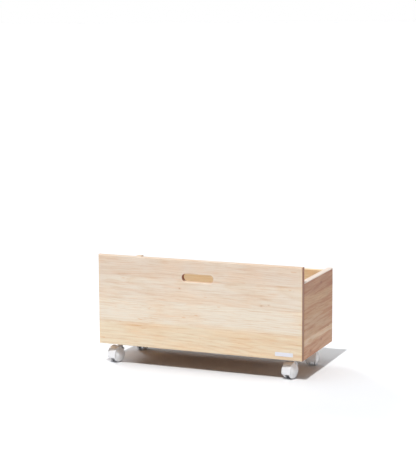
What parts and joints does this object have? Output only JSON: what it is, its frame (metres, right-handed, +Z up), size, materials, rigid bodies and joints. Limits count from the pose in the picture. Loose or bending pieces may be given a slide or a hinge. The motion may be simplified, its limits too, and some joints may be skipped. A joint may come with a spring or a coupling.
{
  "type": "toy box",
  "caption": "Open-topped rectangular wooden toy box on swivel casters, with a tall front panel that has a hand slot and lower ends and back.",
  "frame": {"origin": "on the floor, under the centre of the box's footprint", "axes": "+X along the box to its right end, +Y to its back (the tall front panel faces -Y), +Z up"},
  "size_m": [0.7, 0.3054, 0.361],
  "materials": {
    "pine_front": "clear satin lacquer on laminated pine",
    "pine_end": "clear satin lacquer on laminated pine",
    "pine_back": "clear satin lacquer on laminated pine",
    "plywood": "sanded plywood",
    "rail_wood": "planed pine",
    "dowel_wood": "fluted beech",
    "zinc_steel": "bright zinc plating",
    "dark_steel": "blackened steel",
    "spring_steel": "oiled spring steel",
    "axle_steel": "bright steel",
    "white_hood": "glossy moulded nylon",
    "white_wheel": "glossy moulded nylon",
    "label_film": "blank white film"
  },
  "bodies": {
    "box": {"front_panel": "pine_front", "back_panel": "pine_back", "left_end_panel": "pine_end", "right_end_panel": "pine_end", "bottom_panel": "plywood", "left_caster_rail": "rail_wood", "right_caster_rail": "rail_wood", "case_dowels": "dowel_wood", "rail_screws": "zinc_steel", "label": "label_film", "front_left_mounting_plate": "zinc_steel", "front_left_plate_screws": "zinc_steel", "front_left_kingpin": "dark_steel", "front_left_grip_ring": "spring_steel", "front_right_mounting_plate": "zinc_steel", "front_right_plate_screws": "zinc_steel", "front_right_kingpin": "dark_steel", "front_right_grip_ring": "spring_steel", "back_left_mounting_plate": "zinc_steel", "back_left_plate_screws": "zinc_steel", "back_left_kingpin": "dark_steel", "back_left_grip_ring": "spring_steel", "back_right_mounting_plate": "zinc_steel", "back_right_plate_screws": "zinc_steel", "back_right_kingpin": "dark_steel", "back_right_grip_ring": "spring_steel"},
    "front_left_caster": {"front_left_hood": "white_hood", "front_left_axle": "axle_steel"},
    "front_left_left_wheel": {"front_left_left_wheel": "white_wheel"},
    "front_left_right_wheel": {"front_left_right_wheel": "white_wheel"},
    "front_right_caster": {"front_right_hood": "white_hood", "front_right_axle": "axle_steel"},
    "front_right_left_wheel": {"front_right_left_wheel": "white_wheel"},
    "front_right_right_wheel": {"front_right_right_wheel": "white_wheel"},
    "back_left_caster": {"back_left_hood": "white_hood", "back_left_axle": "axle_steel"},
    "back_left_left_wheel": {"back_left_left_wheel": "white_wheel"},
    "back_left_right_wheel": {"back_left_right_wheel": "white_wheel"},
    "back_right_caster": {"back_right_hood": "white_hood", "back_right_axle": "axle_steel"},
    "back_right_left_wheel": {"back_right_left_wheel": "white_wheel"},
    "back_right_right_wheel": {"back_right_right_wheel": "white_wheel"}
  },
  "joints": [
    {"name": "front_left_swivel", "type": "hinge", "parent": "box", "child": "front_left_caster", "pos_m": [-0.302, -0.0945, 0.045], "axis": [0, 0, 1], "continuous": true},
    {"name": "front_left_left_wheel_spin", "type": "hinge", "parent": "front_left_caster", "child": "front_left_left_wheel", "pos_m": [-0.30718, -0.11382, 0.025], "axis": [0.9659, -0.2588, 0], "continuous": true},
    {"name": "front_left_right_wheel_spin", "type": "hinge", "parent": "front_left_caster", "child": "front_left_right_wheel", "pos_m": [-0.30718, -0.11382, 0.025], "axis": [0.9659, -0.2588, 0], "continuous": true},
    {"name": "front_right_swivel", "type": "hinge", "parent": "box", "child": "front_right_caster", "pos_m": [0.302, -0.0945, 0.045], "axis": [0, 0, 1], "continuous": true},
    {"name": "front_right_left_wheel_spin", "type": "hinge", "parent": "front_right_caster", "child": "front_right_left_wheel", "pos_m": [0.29818, -0.11413, 0.025], "axis": [0.9816, -0.1908, 0], "continuous": true},
    {"name": "front_right_right_wheel_spin", "type": "hinge", "parent": "front_right_caster", "child": "front_right_right_wheel", "pos_m": [0.29818, -0.11413, 0.025], "axis": [0.9816, -0.1908, 0], "continuous": true},
    {"name": "back_left_swivel", "type": "hinge", "parent": "box", "child": "back_left_caster", "pos_m": [-0.302, 0.0945, 0.045], "axis": [0, 0, 1], "continuous": true},
    {"name": "back_left_left_wheel_spin", "type": "hinge", "parent": "back_left_caster", "child": "back_left_left_wheel", "pos_m": [-0.30095, 0.07453, 0.025], "axis": [0.9986, 0.0523, 0], "continuous": true},
    {"name": "back_left_right_wheel_spin", "type": "hinge", "parent": "back_left_caster", "child": "back_left_right_wheel", "pos_m": [-0.30095, 0.07453, 0.025], "axis": [0.9986, 0.0523, 0], "continuous": true},
    {"name": "back_right_swivel", "type": "hinge", "parent": "box", "child": "back_right_caster", "pos_m": [0.302, 0.0945, 0.045], "axis": [0, 0, 1], "continuous": true},
    {"name": "back_right_left_wheel_spin", "type": "hinge", "parent": "back_right_caster", "child": "back_right_left_wheel", "pos_m": [0.30616, 0.07494, 0.025], "axis": [0.9781, 0.2079, 0], "continuous": true},
    {"name": "back_right_right_wheel_spin", "type": "hinge", "parent": "back_right_caster", "child": "back_right_right_wheel", "pos_m": [0.30616, 0.07494, 0.025], "axis": [0.9781, 0.2079, 0], "continuous": true}
  ]
}
